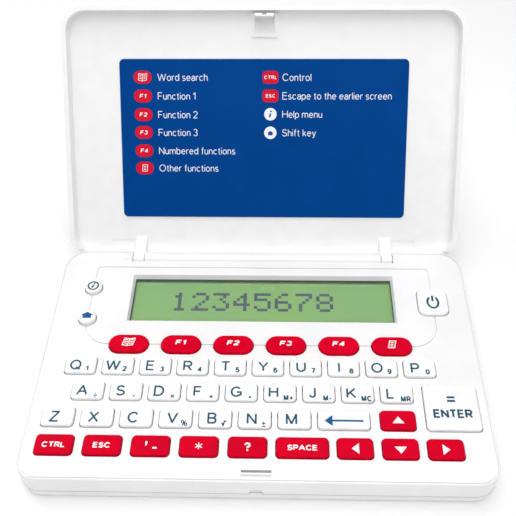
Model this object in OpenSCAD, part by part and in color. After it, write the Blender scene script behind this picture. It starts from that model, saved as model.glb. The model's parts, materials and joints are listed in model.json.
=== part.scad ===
// Pocket electronic dictionary: a flat clamshell case with a keyboard, a one-line display and a lid
// that folds back on two hinge pins. Millimetres. The origin is the middle of the underside, +X is
// the user's right, -Y is the front edge and +Z is up. The lid is drawn open, as far as it goes.

/* [Base] */
// Width of the case, side to side
body_w = 134; // [131:0.5:150]
// Depth of the case, front to back
body_d = 86.7; // [86:0.1:95]
// Height of the deck above the underside
deck_z = 11; // [10.8:0.1:13]
// Height of the seam between the two halves above the underside
seam_z = 4.3; // [4:0.1:4.6]
// Height at which the posts of the lower half meet the bosses of the upper one
join_z = 6.2; // [6:0.1:6.4]
// Corner radius at the front, seen from above
front_corner_r = 6.5; // [5:0.5:8]
// Corner radius at the back, seen from above
rear_corner_r = 8; // [6:0.5:9]
// Rounding of the bottom edge
bottom_edge_r = 1.9; // [1.2:0.1:2.2]
// Rounding of the deck's outer edge
deck_edge_r = 0.4; // [0.3:0.1:0.4]
// Distance of the fine groove round the deck from the sides of the case
rim_inset = 0.5; // [0.45:0.05:0.8]
// Width of that groove
rim_w = 0.3; // [0.2:0.05:0.4]
// Depth of that groove
rim_depth = 0.4; // [0.2:0.05:0.5]
// Thickness of the side walls
wall_t = 1.8; // [1.5:0.1:2.2]
// Thickness of the deck plate
deck_t = 1.6; // [1.4:0.1:1.8]
// Thickness of the floor
floor_t = 1.6; // [1.4:0.1:1.7]
// How far the lower housing stands back from the upper one
seam_step = 0.3; // [0.1:0.1:0.5]
// Thickness of the locating lip that stands inside the seam
lip_t = 0.8; // [0.6:0.1:0.9]
// Height of the locating lip
lip_h = 1; // [0.6:0.1:1.4]
// How far back the locating lip runs, behind the centre line
lip_back_y = 28; // [20:1:30]
// Clearance of the locating lip in the upper housing
lip_play = 0.15; // [0.1:0.05:0.2]

/* [Hinge] */
// Distance of the hinge axis from the back of the case
axis_inset = 2.65; // [2.6:0.05:3]
// Radius of the hinge barrel on the deck
barrel_r = 2.5; // [2.3:0.05:2.5]
// Depth of the hinge axis below the deck
axis_drop = 1.3; // [1.2:0.05:1.5]
// Angle from shut to fully open
open_angle = 125; // [115:1:130]
// Distance of each lug's middle from the centre line
lug_x = 42.25; // [38:0.25:46]
// Width of a lug
lug_w = 3.6; // [3:0.1:4.5]
// Radius of a lug's eye
lug_eye_r = 1.95; // [1.8:0.05:2.4]
// How far a lug's web runs forward along the lid
lug_reach = 6.6; // [5:0.2:10]
// Direction from the axis of the point where a lug's web leaves its eye
web_angle = 148; // [142:1:152]
// Height of a web at its front end
web_end_h = 0.6; // [0.4:0.1:1]
// Diameter of a hinge pin
pin_d = 2; // [1.6:0.1:2.2]
// Length of a hinge pin on the inboard side of its lug
pin_grip = 4; // [3:0.5:6]
// Length of a hinge pin on the outboard side of its lug
cheek_grip = 1.8; // [1.4:0.1:2.4]
// Radius of the rounded cheek over that end of the pin
cheek_r = 1.9; // [1.6:0.1:2.2]
// Wall round the pocket of a lug and past the ends of its pin
pocket_wall = 1.1; // [0.8:0.1:1.2]
// Radial clearance of a pin in its lug
pin_play = 0.05; // [0.02:0.01:0.1]
// Radial clearance of a pin in the housing
pin_seat_gap = 0.02; // [0.01:0.01:0.05]
// Gap round the posts of the lower housing that carry the pins
post_gap = 0.1; // [0.05:0.05:0.2]
// How far below the axis these posts end
post_drop = 0.3; // [0.2:0.05:0.5]
// Gap each side of a lug in its pocket
lug_gap = 0.3; // [0.2:0.05:0.5]
// Gap between the lid's back wall and the case when the lid is fully open
stop_gap = 0.2; // [0.1:0.05:0.4]

/* [Lid] */
// How far the lid stands in from each side of the case
lid_inset = 0.6; // [0:0.1:1]
// Outside thickness of the lid
lid_t = 7; // [6.6:0.1:9]
// Thickness of the lid's outer skin
lid_skin = 1.5; // [1.4:0.1:1.8]
// Thickness of the lid's walls
lid_wall = 1.6; // [1.4:0.1:2]
// Corner radius of the lid
lid_corner_r = 8; // [6:0.5:10]
// Rounding of the lid's outer edge
lid_edge_r = 2; // [1:0.1:2.5]
// Gap between the lid's rim and the deck when shut
rim_gap = 0.1; // [0.1:0.05:0.3]
// Length of the shallow marks in the lid beside the lugs
mark_w = 8.2; // [5:0.1:9]
// Size of those marks along the lid
mark_len = 4; // [3:0.2:4]
// How much nearer the axis the marks end than the lugs
mark_setback = 0.9; // [0:0.1:1]
// Depth of those marks
mark_depth = 0.3; // [0.2:0.1:0.5]

/* [Lid label] */
// Width of the printed label
label_w = 97; // [80:0.2:100]
// Length of the label along the lid
label_len = 53.4; // [45:0.1:56]
// Distance of the label from the hinge axis
label_from_axis = 13.8; // [12:0.1:18]
// Thickness of the label
label_t = 0.25; // [0.15:0.05:0.4]
// Middle of the label, right of the centre line
label_x = 0.15; // [-1:0.05:1]
// Corner radius of the label
label_corner_r = 1.6; // [0.8:0.1:3]
// How far the raised seat shows round the label
seat_margin = 0.8; // [0.5:0.1:3]
// Height of the raised seat
seat_h = 0.2; // [0.1:0.1:0.6]

/* [Latch] */
// Width of the latch slot in the deck
slot_w = 8.4; // [7.4:0.1:10]
// Size of the latch slot from front to back
slot_d = 0.8; // [0.7:0.05:1]
// Distance of the latch slot's middle from the front of the case
slot_inset = 3.35; // [3.2:0.05:3.6]
// Distance between the latch slot and the slot in front of it
slot_pitch = 1.3; // [1.2:0.05:1.4]
// Size of that front slot from front to back
front_slot_d = 0.6; // [0.5:0.05:0.7]
// Width of the tongue on the lid
tongue_w = 6.2; // [5:0.1:7]
// Middle of the tongue and its frame, right of the centre line
tongue_x = 0.5; // [0:0.1:0.6]
// Thickness of the tongue
tongue_t = 0.5; // [0.4:0.05:0.6]
// How far the tongue's nose stands out
nose_d = 0.4; // [0.25:0.05:0.45]
// Height of the nose
nose_h = 0.7; // [0.5:0.1:0.9]
// Width of the notch in the middle of the tongue's end
split_w = 1.3; // [0.8:0.1:2]
// Depth of that notch
split_h = 1.2; // [0.8:0.1:2]
// Width of the frame round the tongue's root
frame_w = 8.8; // [8:0.1:11]
// Length of that frame
frame_len = 7.5; // [6:0.1:9]
// Width of the frame's ribs
frame_rib = 1.1; // [0.8:0.1:1.2]
// Height of the frame's ribs
frame_h = 1; // [0.6:0.1:1.4]
// Depth of the ramp under the tongue's nose
ramp_depth = 0.9; // [0.5:0.1:1]
// Width of the finger notch in the front wall
notch_w = 3.6; // [3:0.2:6]
// Height of the finger notch
notch_h = 2; // [1.8:0.1:2.6]
// Depth of the finger notch
notch_d = 0.5; // [0.3:0.1:0.6]

/* [Display] */
// Distance of the window's ends from the moulded line, with the window in the middle
window_end_gap = 12.3; // [11:0.1:20]
// Size of the window opening from front to back
window_d = 19.8; // [16:0.1:21]
// Middle of the window, right of the centre line
window_x = 0.3; // [-1:0.1:1]
// Middle of the window, behind the centre line
window_y = 22.4; // [21.5:0.1:22.8]
// Slope of the window's edge
window_bevel = 0.6; // [0.2:0.1:1]
// Thickness of the clear lens under the deck
lens_t = 0.8; // [0.5:0.1:1]
// How far the lens laps under the deck
lens_lap = 2; // [1.5:0.1:2.4]
// How far the display's glass stands in from the edge of the lens
glass_inset = 1; // [0.6:0.1:1.4]
// Gap between the lens and the display's glass
lens_gap = 0.1; // [0.05:0.05:0.3]
// Height of the display's lower frame
lcd_frame_t = 1.2; // [1:0.1:1.3]
// How far the display's frame stands out past its glass
lcd_frame_lap = 0.5; // [0.3:0.1:0.6]

/* [Keyboard] */
// Room that the Q row, with a space after each key, leaves free across the case
key_room = 20; // [19:0.1:22]
// Space between letter keys
key_spacing = 2; // [1.9:0.1:2.4]
// Size of a key from front to back
key_d = 6.4; // [6:0.1:6.8]
// Distance between rows
row_pitch = 9.15; // [9:0.05:9.2]
// Front edge of the front row, from the middle of the case
front_row_y = -35.95; // [-36.2:0.05:-35.7]
// Distance of the Q key from the side of the case
row_1_inset = 8; // [7.6:0.1:9]
// Distance of the A key from the side of the case
row_2_inset = 11.7; // [11:0.1:12.4]
// Distance of the Z key from the side of the case
row_3_inset = 4.5; // [4.3:0.1:4.7]
// Distance of the first control key from the side of the case
control_inset = 4.4; // [4.2:0.1:4.6]
// How much wider than a letter key a control key is
control_extra = 1.4; // [0.6:0.1:1.6]
// Space between control keys
control_space = 2.85; // [2.6:0.05:2.9]
// How much wider than a letter key the space key is
space_extra = 5.3; // [3.6:0.1:5.6]
// Space between the last control key and the space key
space_gap = 2.6; // [2.4:0.05:3.2]
// How much wider than a letter key the backspace key is
backspace_extra = 5.5; // [3.6:0.1:6]
// How much wider than a letter key an arrow key is
arrow_extra = 0.6; // [0.2:0.1:1]
// Space between arrow keys
arrow_space = 2.6; // [2.2:0.1:2.8]
// Space between the space key and the left arrow key
arrow_gap = 2.4; // [2:0.05:2.9]
// How far the up arrow key stands to the right of the down arrow key
up_shift = 0.1; // [0:0.1:0.5]
// How much wider than a letter key the enter key is
enter_extra = 6.2; // [5.6:0.1:6.4]
// Distance of the enter key from the side of the case
enter_inset = 3.1; // [2.9:0.1:3.3]
// Corner radius of a key
key_corner_r = 1.2; // [0.8:0.1:1.8]
// Rounding of a key's top edge
key_edge_r = 0.45; // [0.2:0.05:0.6]
// Height of a key above the deck
key_proud = 0.9; // [0.9:0.1:1.6]
// Wall of a hollow key
key_wall = 1; // [0.8:0.1:1.2]
// Gap between a key and its opening
key_gap = 0.25; // [0.2:0.05:0.35]
// Travel of a key when pressed
key_travel = 0.8; // [0.65:0.05:0.85]
// How far a key's retaining lip stands out
key_lip = 0.6; // [0.4:0.05:0.7]
// Thickness of the retaining lip
key_lip_t = 0.8; // [0.6:0.1:0.9]
// Gap between the retaining lip and the deck plate
lip_gap = 0.2; // [0.1:0.05:0.25]
// Diameter of the plunger inside a key
plunger_d = 2; // [1.6:0.1:2.6]

/* [Function buttons] */
// Number of function buttons under the display
pill_count = 6; // [4:1:6]
// Room that the function buttons, with a space after each, leave free across the case
pill_room = 36.2; // [34:0.1:42]
// Space between function buttons
pill_space = 4; // [3.6:0.1:6]
// Size of a function button from front to back
pill_d = 6.7; // [6:0.1:6.9]
// Middle of the function buttons, behind the centre line
pill_y = 2.9; // [2.6:0.1:3.2]
// Height of a function button above the deck
pill_proud = 1; // [0.8:0.1:1.4]
// Diameter of the two round buttons
round_d = 5.6; // [5:0.1:7]
// Height of the two round buttons above the deck
round_proud = 1.4; // [1:0.1:1.6]
// Middle of the round info button, behind the centre line
info_y = 26; // [25:0.1:27.5]
// Middle of the round shift button, behind the centre line
shift_y = 13.1; // [12.6:0.1:14.5]
// Width of the power button
power_w = 9.5; // [8:0.1:10]
// Size of the power button from front to back
power_d = 11; // [9:0.1:12]
// Corner radius of the power button
power_corner_r = 2.4; // [1.6:0.1:3]
// Height of the power button above the deck
power_proud = 0.8; // [0.7:0.1:1.2]
// Middle of the power button, behind the centre line
power_y = 21; // [20:0.1:22]
// Travel of these buttons when pressed
button_travel = 0.6; // [0.4:0.05:0.7]

/* [Panel line] */
// Distance of the moulded line from the sides of the case
line_inset = 11.6; // [11:0.1:12]
// Width of the line
line_w = 0.4; // [0.3:0.05:0.5]
// Depth of the line
line_depth = 0.55; // [0.3:0.05:0.7]
// Distance of the line's back stretch behind the centre line
line_top_y = 35.7; // [35:0.1:36.2]
// Distance of the line's front stretch behind the centre line
line_low_y = 3.2; // [2.6:0.1:3.6]
// Radius of the line's back corners
line_top_r = 1.5; // [1:0.5:4]
// Radius of the line's front corners
line_low_r = 8; // [6:0.5:8.5]

/* [Inside] */
// Height of the circuit board's underside
board_z = 5.2; // [5.1:0.05:5.3]
// Thickness of the circuit board
board_t = 1.1; // [0.8:0.1:1.2]
// How far the circuit board stands in from the sides of the case
board_side_inset = 4; // [3.5:0.1:5]
// How far the circuit board stands in from the front of the case
board_front_inset = 3.05; // [2.9:0.05:4]
// How far the circuit board stands in from the back of the case
board_back_inset = 8.65; // [8.4:0.05:9]
// Thickness of the rubber keypad mat
mat_t = 0.6; // [0.4:0.1:0.7]
// How far the mat stands in from the sides of the circuit board
mat_inset = 1.5; // [1:0.1:1.6]
// How far the mat runs past the outer keys and buttons
mat_margin = 1; // [0.6:0.1:1.3]
// Diameter of a rubber dome on the mat
dome_d = 4; // [3:0.1:4.4]
// Room left between a pressed key and its dome
dome_gap = 0.1; // [0.1:0.05:0.2]
// Diameter of a coin cell
cell_d = 20; // [16:0.5:20]
// Thickness of a coin cell
cell_t = 3.2; // [2:0.1:3.2]
// Width of the step round a cell's upper face
cell_step_w = 1; // [0.6:0.1:1.4]
// Height of that step
cell_step_h = 0.3; // [0.2:0.05:0.4]
// Distance between the two coin cells
cell_pitch = 23; // [21.5:0.5:25]
// Middle of the coin cells, behind the centre line
cell_y = 17; // [15:0.5:19]
// Gap round the coin cells
cell_gap = 0.4; // [0.2:0.1:0.6]
// Thickness of the battery cover
cover_t = 1.4; // [1.2:0.1:1.4]
// Gap round the battery cover
cover_gap = 0.2; // [0.15:0.05:0.3]
// Width of the ledge that the battery cover lies against
cover_ledge = 1.2; // [1:0.1:1.4]
// Wall of the battery bay outside the ledge
bay_wall = 1; // [0.8:0.1:1.2]
// Room between the battery bay and the circuit board
bay_gap = 0.3; // [0.2:0.1:0.5]
// Width of a tab at the back of the battery cover
tab_w = 6; // [4:0.5:8]
// Thickness of the tabs
tab_t = 0.8; // [0.6:0.1:1]
// How far the tabs reach past the cover's opening
tab_reach = 1; // [0.6:0.1:1.2]
// Wall of the cover's screw pad round the screw head
pad_wall = 0.8; // [0.6:0.1:1]
// Height of the screw pad above the cover
pad_h = 0.8; // [0.6:0.1:1]
// Thickness of the contact strips
contact_t = 0.2; // [0.15:0.05:0.25]
// Width of the contact strips
contact_w = 5; // [4:0.5:6]
// Length of the contact strips
contact_len = 10; // [8:0.5:12]
// Diameter of the contact that presses on a cell
contact_d = 3; // [2:0.2:4]
// Width of the processor under the board, on all four sides
chip_w = 12; // [8:0.5:14]
// Height of the chips under the board
chip_h = 1.2; // [0.8:0.1:1.5]
// Middle of the processor, left of the centre line
chip_x = 34; // [32:0.5:38]
// Middle of the processor, in front of the centre line
chip_y = 16; // [12:0.5:20]
// Length of the clock crystal
crystal_len = 7; // [6:0.5:10]
// Width of the clock crystal
crystal_w = 2.4; // [2:0.1:3]
// Middle of the crystal, right of the centre line
crystal_x = 30; // [26:0.5:36]
// Middle of the crystal, in front of the centre line
crystal_y = 20; // [14:0.5:24]

/* [Screws] */
// Thread diameter of the case screws
screw_d = 2; // [1.8:0.1:2.2]
// Diameter of a screw head
screw_head_d = 3.8; // [3.4:0.1:4]
// Height of a screw head
screw_head_h = 1.2; // [1:0.1:1.4]
// Depth of the screw heads below the underside
screw_sink = 1; // [0.6:0.1:1.2]
// Length of the cross in a screw head
cross_len = 2.3; // [1.8:0.1:2.6]
// Width of the cross in a screw head
cross_w = 0.5; // [0.4:0.05:0.7]
// Distance of the side and back screws from the side of the case
side_screw_inset = 6.2; // [6:0.1:6.4]
// Distance of the back screws from the back of the case
back_screw_inset = 9.35; // [9:0.05:10]
// Distance of the front screws from the side of the case
front_screw_inset = 9.6; // [9:0.1:12]
// Outside radius of the screw posts on the floor
post_r = 3.2; // [3:0.1:3.4]
// Outside radius of the screw bosses under the deck
boss_r = 2.1; // [1.9:0.1:2.1]
// Radial clearance of a screw in the hole it passes through
screw_gap = 0.2; // [0.1:0.05:0.3]
// Radial clearance of a screw in the hole it bites into
thread_gap = 0.02; // [0.01:0.01:0.05]
// How much deeper than the screw its blind hole is
blind_gap = 1; // [0.5:0.1:1.2]
// Gap between a screw boss and the circuit board and mat round it
board_gap = 0.4; // [0.3:0.1:0.5]

/* [Hidden] */
$fn = 48;
tiny = 0.01;
pitch_names = ["q", "w", "e", "r", "t", "y", "u", "i", "o", "p"];
home_names = ["a", "s", "d", "f", "g", "h", "j", "k", "l"];
low_names = ["z", "x", "c", "v", "b", "n", "m"];
control_names = ["ctrl", "escape", "apostrophe", "asterisk", "question"];
arrow_names = ["left", "down", "right"];
past = 1; // how far a cutter runs past what it cuts
least_r = 0.2; // least corner radius inside a key

// Heights and places that follow from the sizes above
deck_low = deck_z - deck_t;
hinge_y = body_d / 2 - axis_inset;
hinge_z = deck_z - axis_drop;
rim_t = axis_drop + rim_gap;
top_t = rim_t + lid_t;
lid_floor_t = top_t - lid_skin;
mark_far = mark_setback - lug_reach;
lid_w = body_w - 2 * lid_inset;
lid_len = hinge_y + body_d / 2;
rear_lift = (axis_inset + stop_gap) / sin(open_angle);
rear_cut = axis_inset * abs(cos(open_angle)) + axis_drop * sin(open_angle) + 2 * stop_gap;
pocket_half = lug_w / 2 + lug_gap;
barrel_half = lug_x - pocket_half;
pin_r = pin_d / 2;
post_half = pin_r - post_gap;
pin_in = barrel_half - pin_grip;
pin_out = lug_x + pocket_half + cheek_grip;
block_in = pin_in - pocket_wall;
block_out = pin_out + pocket_wall;
pocket_front = hinge_y - lug_eye_r - lug_gap;
block_y = pocket_front - pocket_wall;
slot_y = -body_d / 2 + slot_inset;
tongue_s = hinge_y - slot_y;
latch_s = tongue_s + frame_rib;
lip_inset = wall_t - lip_t + seam_step;
board_w = body_w - 2 * board_side_inset;
board_d = body_d - board_front_inset - board_back_inset;
board_y = (board_front_inset - board_back_inset) / 2;
board_top = board_z + board_t;
lens_low = deck_low - lens_t;
lip_top = deck_low - lip_gap;
key_low = lip_top - key_lip_t;
lower_w = body_w - 2 * seam_step;
lower_d = body_d - 2 * seam_step;
bay_w = cell_d + cell_pitch + 2 * cell_gap;
bay_d = cell_d + 2 * cell_gap;
bay_top = board_z - bay_gap;
cover_w = bay_w + 2 * cover_ledge;
cover_d = bay_d + 2 * cover_ledge;
cover_screw_y = cell_y - bay_d / 2 + boss_r - bay_wall / 2;
cover_head_z = cover_t - screw_head_h;
pad_r = screw_head_d / 2 + pad_wall;
pad_top = cover_t + pad_h;
mat_w = board_w - 2 * mat_inset;
mat_front = front_row_y - mat_margin;
mat_back = pill_y + pill_d / 2 + mat_margin;
line_x = body_w / 2 - line_inset;
window_w = 2 * (line_x - window_end_gap);
lens_w = window_w + 2 * (lens_lap - window_bevel);
lens_d = window_d + 2 * (lens_lap - window_bevel);
glass_w = lens_w - 2 * glass_inset;
glass_d = lens_d - 2 * glass_inset;
row_y = [for (i = [0:3]) front_row_y + i * row_pitch];
key_pitch = (body_w - key_room) / len(pitch_names);
key_w = key_pitch - key_spacing;
row_1_x = row_1_inset - body_w / 2;
row_2_x = row_2_inset - body_w / 2;
row_3_x = row_3_inset - body_w / 2;
control_x = control_inset - body_w / 2;
control_w = key_w + control_extra;
control_pitch = control_w + control_space;
space_w = key_w + space_extra;
space_x = control_x + len(control_names) * control_pitch - control_space + space_gap;
backspace_w = key_w + backspace_extra;
arrow_w = key_w + arrow_extra;
arrow_pitch = arrow_w + arrow_space;
arrow_x = space_x + space_w + arrow_gap;
enter_w = key_w + enter_extra;
enter_x = body_w / 2 - enter_inset - enter_w;
pill_pitch = (body_w - pill_room) / pill_count;
pill_w = pill_pitch - pill_space;
side_screw_x = body_w / 2 - side_screw_inset;
front_screw_x = body_w / 2 - front_screw_inset;
front_screw_y = front_row_y - 2 * key_gap - boss_r;
screw_xy = [
    [-front_screw_x, front_screw_y], [front_screw_x, front_screw_y],
    [-side_screw_x, row_y[2] + key_d / 2], [side_screw_x, row_y[3] + key_d / 2],
    [-side_screw_x, body_d / 2 - back_screw_inset], [side_screw_x, body_d / 2 - back_screw_inset]
];

// A row of like keys: name, middle x, middle y, width, depth, corner radius, height, travel, colour
function key_row(names, x, y, w, pitch, colour) = [
    for (i = [0:len(names) - 1])
        [str("key_", names[i]), x + i * pitch + w / 2, y + key_d / 2, w, key_d,
         key_corner_r, key_proud, key_travel, colour]
];
function one_key(name, x, y, w, d, colour) =
    [name, x + w / 2, y + d / 2, w, d, key_corner_r, key_proud, key_travel, colour];
function button(name, x, y, w, d, r, proud, colour) =
    [name, x, y, w, d, r, proud, button_travel, colour];

KEYS = concat(
    key_row(pitch_names, row_1_x, row_y[3], key_w, key_pitch, "white"),
    key_row(home_names, row_2_x, row_y[2], key_w, key_pitch, "white"),
    key_row(low_names, row_3_x, row_y[1], key_w, key_pitch, "white"),
    [one_key("key_backspace", row_3_x + len(low_names) * key_pitch, row_y[1],
             backspace_w, key_d, "white")],
    [one_key("key_up", arrow_x + arrow_pitch + up_shift, row_y[1], arrow_w, key_d, "crimson")],
    [one_key("key_enter", enter_x, row_y[1], enter_w, row_pitch + key_d, "white")],
    key_row(control_names, control_x, row_y[0], control_w, control_pitch, "crimson"),
    [one_key("key_space", space_x, row_y[0], space_w, key_d, "crimson")],
    key_row(arrow_names, arrow_x, row_y[0], arrow_w, arrow_pitch, "crimson"),
    [for (i = [1:pill_count])
        button(str("function_key_", i), (i - (pill_count + 1) / 2) * pill_pitch, pill_y,
               pill_w, pill_d, pill_d / 2, pill_proud, "crimson")],
    [button("info_button", -line_x, info_y, round_d, round_d, round_d / 2, round_proud, "white")],
    [button("shift_button", -line_x, shift_y, round_d, round_d, round_d / 2, round_proud, "white")],
    [button("power_button", line_x, power_y, power_w, power_d, power_corner_r, power_proud, "white")]
);

// Outline with rounded corners, centred, front and back corners alike on each side
module outline(w, d, r_front, r_back) {
    if (r_front + r_back > d - tiny) {
        if (w > d + tiny) square([w - d, d], center = true);
        for (side = w > d + tiny ? [-1, 1] : [0]) translate([side * (w - d) / 2, 0]) circle(d / 2);
    } else {
        translate([-w / 2, -d / 2 + r_front]) square([w, d - r_front - r_back]);
        translate([-w / 2 + r_front, -d / 2]) square([w - 2 * r_front, r_front]);
        translate([-w / 2 + r_back, d / 2 - r_back]) square([w - 2 * r_back, r_back]);
        for (side = [-1, 1]) {
            translate([side * (w / 2 - r_front), -d / 2 + r_front]) circle(r_front);
            translate([side * (w / 2 - r_back), d / 2 - r_back]) circle(r_back);
        }
    }
}

// Upright wall section, from the middle out to x = reach, with its outer edges rounded
module edge_section(reach, h, r_low, r_high) {
    inner = reach - max(r_low, r_high);
    square([inner, h]);
    translate([inner, r_low]) square([reach - inner, h - r_low - r_high]);
    if (r_low > 0) intersection() {
        translate([reach - r_low, r_low]) circle(r_low);
        translate([inner, 0]) square([reach - inner, r_low]);
    }
    if (r_high > 0) intersection() {
        translate([reach - r_high, h - r_high]) circle(r_high);
        translate([inner, h - r_high]) square([reach - inner, r_high]);
    }
}

// Block with rounded corners whose lower or upper edge is rounded too, standing on z = 0
module soft_block(w, d, h, r_front, r_back, r_low, r_high) {
    if (w < 2 * r_front + tiny && d < 2 * r_front + tiny)
        rotate_extrude() edge_section(r_front, h, r_low, r_high);
    else for (turn = [0, 1]) mirror([turn, 0, 0]) {
        if (d - r_front - r_back > tiny)
            translate([0, -d / 2 + r_front, 0])
                side_run(w / 2, d - r_front - r_back, h, r_low, r_high);
        front_run(w / 2 - r_front, d / 2, r_front, h, r_low, r_high);
        mirror([0, 1, 0]) front_run(w / 2 - r_back, d / 2, r_back, h, r_low, r_high);
        translate([w / 2 - r_front, -d / 2 + r_front, 0]) rotate([0, 0, -90])
            rotate_extrude(angle = 90) edge_section(r_front, h, r_low, r_high);
        translate([w / 2 - r_back, d / 2 - r_back, 0])
            rotate_extrude(angle = 90) edge_section(r_back, h, r_low, r_high);
    }
}

// Right half of a block between its front and back corners
module side_run(half_w, run, h, r_low, r_high) {
    translate([0, run, 0]) rotate([90, 0, 0]) linear_extrude(run)
        edge_section(half_w, h, r_low, r_high);
}

// Right half of a block's front strip, as deep as the corner radius
module front_run(run, half_d, r, h, r_low, r_high) {
    translate([0, -half_d + r, 0]) rotate([90, 0, 90]) linear_extrude(run)
        mirror([1, 0]) edge_section(r, h, r_low, r_high);
}

// Window cutter whose four sides slope in from the deck to the lens
module window_cut() {
    slope_w = window_w - 2 * window_bevel;
    slope_d = window_d - 2 * window_bevel;
    h = deck_t + 2 * tiny;
    translate([window_x, window_y, deck_low - tiny]) intersection() {
        translate([0, window_d / 2 + past, 0]) rotate([90, 0, 0]) linear_extrude(window_d + 2 * past)
            polygon([[-slope_w / 2, 0], [slope_w / 2, 0], [window_w / 2, h], [-window_w / 2, h]]);
        translate([-window_w / 2 - past, 0, 0]) rotate([90, 0, 90])
            linear_extrude(window_w + 2 * past)
            polygon([[-slope_d / 2, 0], [slope_d / 2, 0], [window_d / 2, h], [-window_d / 2, h]]);
    }
}

// Outline of the moulded line round the display panel, at a distance in from its outer side
module line_outline(inset) {
    w = 2 * line_x + line_w - 2 * inset;
    d = line_top_y - line_low_y + line_w - 2 * inset;
    translate([0, (line_top_y + line_low_y) / 2])
        outline(w, d, line_low_r - inset, line_top_r - inset);
}

// Both hinge pins, or bores for them, as rods along X
module pin_rods(r, from, to) {
    for (side = [-1, 1])
        translate([side * (from + to) / 2, hinge_y, hinge_z]) rotate([0, 90, 0])
            cylinder(r = r, h = to - from, center = true);
}

// Box given by its two corners
module block(low, high) {
    translate(low) cube(high - low);
}

// Boxes mirrored to both sides of the case
module both_sides() {
    for (turn = [0, 1]) mirror([turn, 0, 0]) children();
}

// Outline at a distance in from the side walls of the case
module case_outline(inset) {
    outline(body_w - 2 * inset, body_d - 2 * inset, front_corner_r - inset, rear_corner_r - inset);
}

// Upper housing: deck, walls, hinge barrel and the bosses that the case screws bite into
module top_housing() {
    color("white") difference() {
        union() {
            top_shell();
            both_sides() block([block_in, block_y, join_z],
                               [block_out, body_d / 2 - seam_step / 2, deck_z - deck_t / 2]);
            hinge_rod(barrel_r, barrel_half);
            hinge_rod(cheek_r, block_out);
            at_screws(join_z) cylinder(r = boss_r, h = deck_z - deck_t / 2 - join_z);
        }
        both_sides() {
            block([lug_x - pocket_half, pocket_front, seam_z - past],
                  [lug_x + pocket_half, body_d / 2 + past, hinge_z + axis_inset + past]);
            block([pin_in, hinge_y - post_half - post_gap, seam_z - past],
                  [pin_out, hinge_y + post_half + post_gap, hinge_z]);
        }
        pin_rods(pin_r + pin_seat_gap, pin_in, pin_out);
        translate([0, 0, seam_z]) linear_extrude(deck_z) {
            for (k = KEYS) translate([k[1], k[2]])
                outline(k[3] + 2 * key_gap, k[4] + 2 * key_gap, k[5] + key_gap, k[5] + key_gap);
            translate([0, slot_y]) square([slot_w, slot_d], center = true);
            translate([0, slot_y - slot_pitch]) square([slot_w, front_slot_d], center = true);
        }
        window_cut();
        translate([0, 0, deck_z - line_depth]) linear_extrude(past) difference() {
            line_outline(0);
            line_outline(line_w);
        }
        finger_notch();
        at_screws(join_z - past)
            cylinder(r = screw_d / 2 + thread_gap, h = deck_low - join_z + past);
    }
}

// Deck and side walls in one, open below, with a step inside the seam for the locating lip and
// a fine groove round the deck
module top_shell() {
    difference() {
        translate([0, 0, seam_z])
            soft_block(body_w, body_d, deck_z - seam_z, front_corner_r, rear_corner_r,
                       0, deck_edge_r);
        translate([0, 0, seam_z - past]) {
            linear_extrude(deck_low - seam_z + past) case_outline(wall_t);
            linear_extrude(lip_h + lip_play + past) case_outline(lip_inset - lip_play);
        }
        translate([0, 0, deck_z - rim_depth]) linear_extrude(past) difference() {
            case_outline(rim_inset);
            case_outline(rim_inset + rim_w);
        }
    }
}

// Rod along the hinge axis, from the centre line out to both sides
module hinge_rod(r, half) {
    translate([0, hinge_y, hinge_z]) rotate([0, 90, 0])
        cylinder(r = r, h = 2 * half, center = true);
}

// Whatever follows, once at each case screw and at a given height
module at_screws(z) {
    for (p = screw_xy) translate([p[0], p[1], z]) children();
}

// Half-moon cut in the front wall, for the fingernail that lifts the lid
module finger_notch() {
    translate([0, -body_d / 2 + notch_d, seam_z]) rotate([90, 0, 0])
        linear_extrude(notch_d + past) {
            translate([0, notch_h - notch_w / 2]) circle(notch_w / 2);
            translate([-notch_w / 2, -past]) square([notch_w, notch_h - notch_w / 2 + past]);
        }
}

// Lower housing: tray with the screw posts, the battery bay and the posts that carry the pins
module bottom_housing() {
    color("whitesmoke") difference() {
        union() {
            difference() {
                soft_block(lower_w, lower_d, seam_z, front_corner_r - seam_step,
                           rear_corner_r - seam_step, bottom_edge_r, 0);
                translate([0, 0, floor_t]) linear_extrude(seam_z)
                    case_outline(seam_step + wall_t);
            }
            locating_lip();
            at_screws(floor_t / 2) {
                cylinder(r = post_r, h = board_z - floor_t / 2);
                cylinder(r = boss_r, h = join_z - floor_t / 2);
            }
            battery_bay();
            both_sides() hinge_pedestal();
        }
        pin_rods(pin_r + pin_seat_gap, pin_in, pin_out);
        at_screws(-past) {
            cylinder(r = screw_head_d / 2 + screw_gap, h = screw_sink + screw_head_h + past);
            cylinder(r = screw_d / 2 + screw_gap, h = join_z + 2 * past);
        }
        cover_opening();
    }
}

// Thin lip that stands inside the seam, along the front and the sides
module locating_lip() {
    translate([0, 0, seam_z]) intersection() {
        linear_extrude(lip_h) difference() {
            case_outline(lip_inset);
            case_outline(seam_step + wall_t);
        }
        block([-body_w, -body_d, -past], [body_w, lip_back_y, lip_h + past]);
    }
}

// Ring wall round the two coin cells, with a boss for the cover's screw on its front side
module battery_bay() {
    low = floor_t / 2;
    translate([0, cell_y, low]) linear_extrude(bay_top - low) difference() {
        square([cover_w + 2 * bay_wall, cover_d + 2 * bay_wall], center = true);
        square([bay_w, bay_d], center = true);
    }
    translate([0, cover_screw_y, low]) cylinder(r = boss_r, h = bay_top - low);
}

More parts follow.
